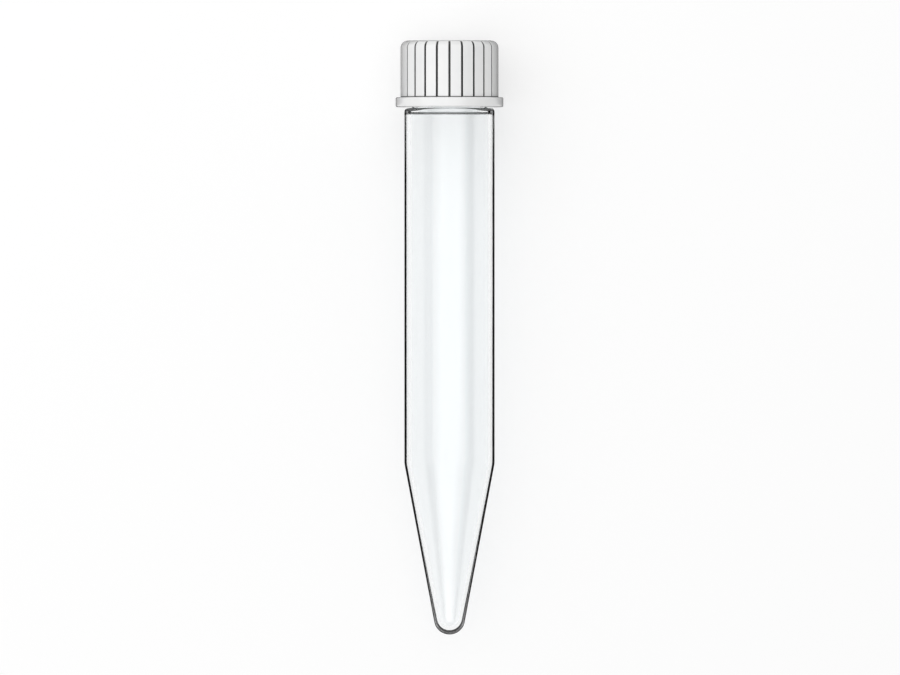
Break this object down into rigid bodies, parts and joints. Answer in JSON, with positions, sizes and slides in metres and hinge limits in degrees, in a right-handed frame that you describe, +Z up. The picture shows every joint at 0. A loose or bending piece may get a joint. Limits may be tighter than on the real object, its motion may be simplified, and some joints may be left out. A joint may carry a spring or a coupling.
{
  "type": "conical tube",
  "caption": "Slim clear conical centrifuge tube with a round tip and a white ribbed screw cap with a flange.",
  "frame": {"origin": "middle of the footprint's bounding box, on the surface that the tube lies on", "axes": "+Z up, +Y from the tip to the cap, with the tube's axis in the YZ plane, rising 1.40 degrees to the cap"},
  "size_m": [0.0208, 0.1154, 0.0209],
  "materials": {
    "tube_clear": "clear moulded plastic, polished",
    "cap_white": "white moulded plastic, satin",
    "liner_foam": "off-white foamed liner, matte"
  },
  "bodies": {
    "tube": {"tube": "tube_clear"},
    "liner": {"cap_liner": "liner_foam"},
    "cap": {"cap": "cap_white"}
  },
  "joints": [
    {"name": "cap_lift", "type": "slide", "parent": "tube", "child": "liner", "axis": [0, 0.9997, 0.0245], "range_m": [0, 0.015]},
    {"name": "cap_turn", "type": "hinge", "parent": "liner", "child": "cap", "pos_m": [0, 0.05753, 0.01075], "axis": [0, 0.9997, 0.0245], "range_deg": [0, 1800]}
  ],
  "couplings": [
    {"joint": "cap_lift", "follows": "cap_turn", "m_per_rad": 0.00047746}
  ]
}
